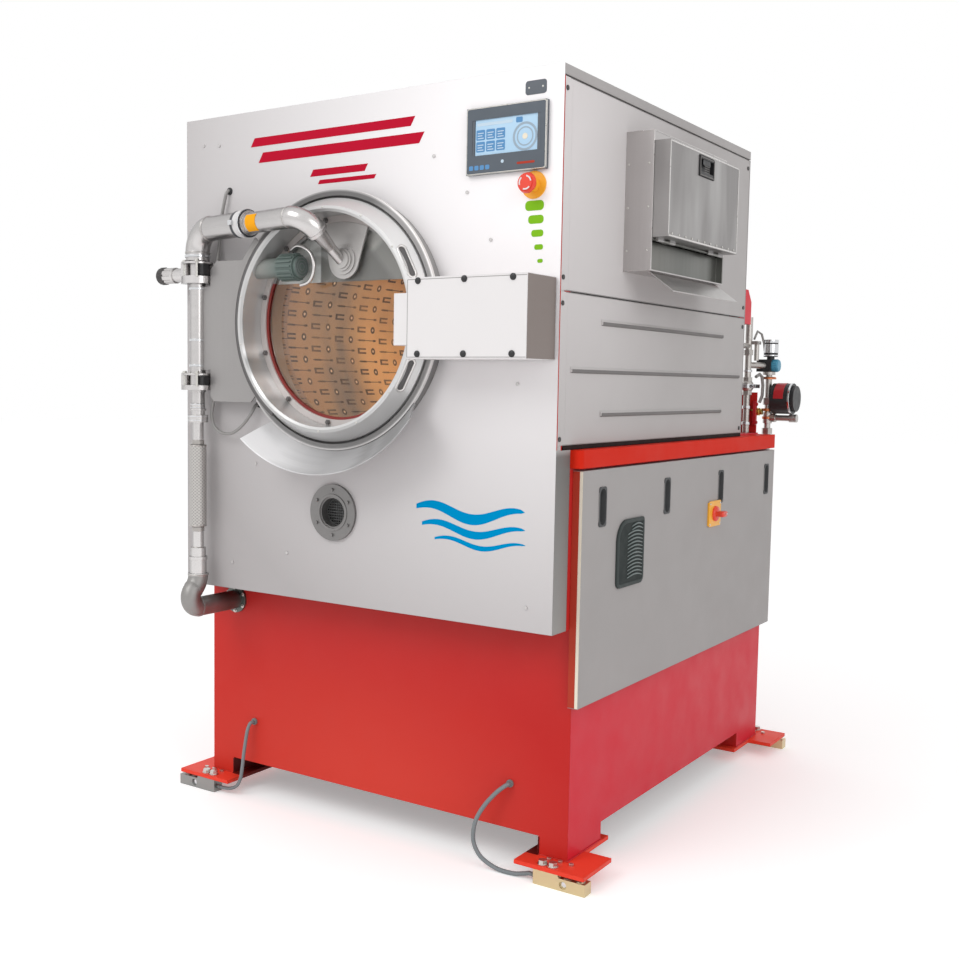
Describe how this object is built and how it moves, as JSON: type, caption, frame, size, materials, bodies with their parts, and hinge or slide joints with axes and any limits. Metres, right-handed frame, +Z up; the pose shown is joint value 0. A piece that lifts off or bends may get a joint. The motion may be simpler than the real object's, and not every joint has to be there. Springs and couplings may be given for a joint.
{
  "type": "industrial front-loading washing machine",
  "caption": "Free-standing industrial washing machine with a round glass door, a swinging spray arm, a side dispenser and a red base on load cells.",
  "frame": {"origin": "on the floor, in the middle of the four anchor holes of the load cells", "axes": "+X to the right seen from the front, +Y to the back, +Z up"},
  "size_m": [1.598, 1.9233, 2.2],
  "materials": {
    "red_paint": "semi-gloss",
    "white_panel": "satin",
    "grey_panel": "satin",
    "stainless": "brushed",
    "stainless_dark": "brushed",
    "drum_steel": "polished, warm",
    "zinc_cell": "cast, warm",
    "bolt_steel": "zinc plated",
    "cable_grey": "matt",
    "hose_grey": "matt",
    "rubber_dark": "matt",
    "rubber_red": "matt",
    "glass_clear": "clear",
    "plastic_dark": "matt",
    "plastic_slate": "matt",
    "plastic_green_grey": "matt",
    "plastic_yellow": "gloss",
    "plastic_red": "gloss",
    "screen_blue": "gloss",
    "cast_grey": "painted",
    "bearing_steel": "ground",
    "motor_paint": "semi-gloss",
    "belt_rubber": "matt",
    "pipe_pale": "satin"
  },
  "bodies": {
    "machine": {"base_cabinet": "red_paint", "base_rim": "red_paint", "foot_plates": "red_paint", "foot_bolts": "bolt_steel", "load_cells": "zinc_cell", "cable_glands": "stainless_dark", "load_cable_left": "cable_grey", "load_cable_right": "cable_grey", "casing_frame": "red_paint", "front_panel": "white_panel", "side_panel_upper": "grey_panel", "side_panel_lower": "grey_panel", "side_panel_left": "grey_panel", "rear_panel": "grey_panel", "top_cover": "grey_panel", "rear_deck": "red_paint", "panel_screws": "bolt_steel", "door_collar": "stainless", "door_seal": "rubber_dark", "drip_apron": "stainless", "hinge_brackets": "stainless", "side_stub": "stainless", "supply_pipe": "stainless", "pipe_sleeve": "stainless_dark", "thin_hose": "hose_grey", "sample_port": "stainless_dark", "lock_keeper": "stainless_dark", "touch_panel_frame": "plastic_slate", "touch_panel_screen": "screen_blue", "stop_button_base": "plastic_yellow", "dispenser_box": "stainless", "inlet_pipes": "pipe_pale", "inlet_valve": "plastic_dark", "tub": "stainless", "bearing_housing": "cast_grey", "bearings": "bearing_steel", "motor": "motor_paint", "drain_line": "stainless_dark", "drive_belts": "belt_rubber"},
    "door": {"door_ring": "stainless", "glass_clamp_ring": "stainless", "glass_seal": "rubber_red", "door_glass": "glass_clear", "splash_shield": "stainless_dark", "hinge_plate": "stainless", "spray_pipe": "stainless", "spray_nozzle": "stainless", "door_lamp": "plastic_green_grey", "pipe_clamp": "rubber_dark", "lock_housing": "white_panel"},
    "bolt": {"lock_bolt": "bearing_steel"},
    "drum_set": {"drum": "drum_steel", "drum_shaft": "bearing_steel", "drum_pulley": "cast_grey"},
    "motor_shaft": {"motor_pulley": "cast_grey"},
    "stop": {"stop_button": "plastic_red"},
    "lid": {"dispenser_lid": "stainless"},
    "latch": {"dispenser_latch": "plastic_dark"},
    "panel": {"service_panel": "grey_panel"},
    "switch": {"switch_knob": "plastic_red"}
  },
  "joints": [
    {"name": "door_hinge", "type": "hinge", "parent": "machine", "child": "door", "pos_m": [-0.576, -0.9505, 1.545], "axis": [0, 0, -1], "range_deg": [0, 110]},
    {"name": "lock_bolt_slide", "type": "slide", "parent": "door", "child": "bolt", "axis": [0, 1, 0], "range_m": [0, 0.045]},
    {"name": "drum_spin", "type": "hinge", "parent": "machine", "child": "drum_set", "pos_m": [-0.042, -0.2935, 1.555], "axis": [0, 1, 0], "continuous": true},
    {"name": "motor_spin", "type": "hinge", "parent": "machine", "child": "motor_shaft", "pos_m": [-0.042, 0.3815, 0.76], "axis": [0, 1, 0], "continuous": true},
    {"name": "stop_press", "type": "slide", "parent": "machine", "child": "stop", "axis": [0, 1, 0], "range_m": [0, 0.006], "stiffness_N_per_m": 900},
    {"name": "panel_pull", "type": "slide", "parent": "machine", "child": "panel", "axis": [1, 0, 0], "range_m": [0, 0.15]},
    {"name": "switch_turn", "type": "hinge", "parent": "panel", "child": "switch", "pos_m": [0.712, 0.1605, 0.958], "axis": [1, 0, 0], "range_deg": [0, 90]},
    {"name": "dispenser_lid_hinge", "type": "hinge", "parent": "machine", "child": "lid", "pos_m": [0.771, -0.2485, 1.79], "axis": [0, 1, 0], "range_deg": [0, 65]},
    {"name": "latch_hinge", "type": "hinge", "parent": "lid", "child": "latch", "pos_m": [0.809, -0.2505, 2.048], "axis": [0, -1, 0], "range_deg": [0, 30], "stiffness_Nm_per_rad": 1.5}
  ],
  "couplings": [
    {"joint": "motor_spin", "follows": "drum_spin", "ratio": 4}
  ]
}
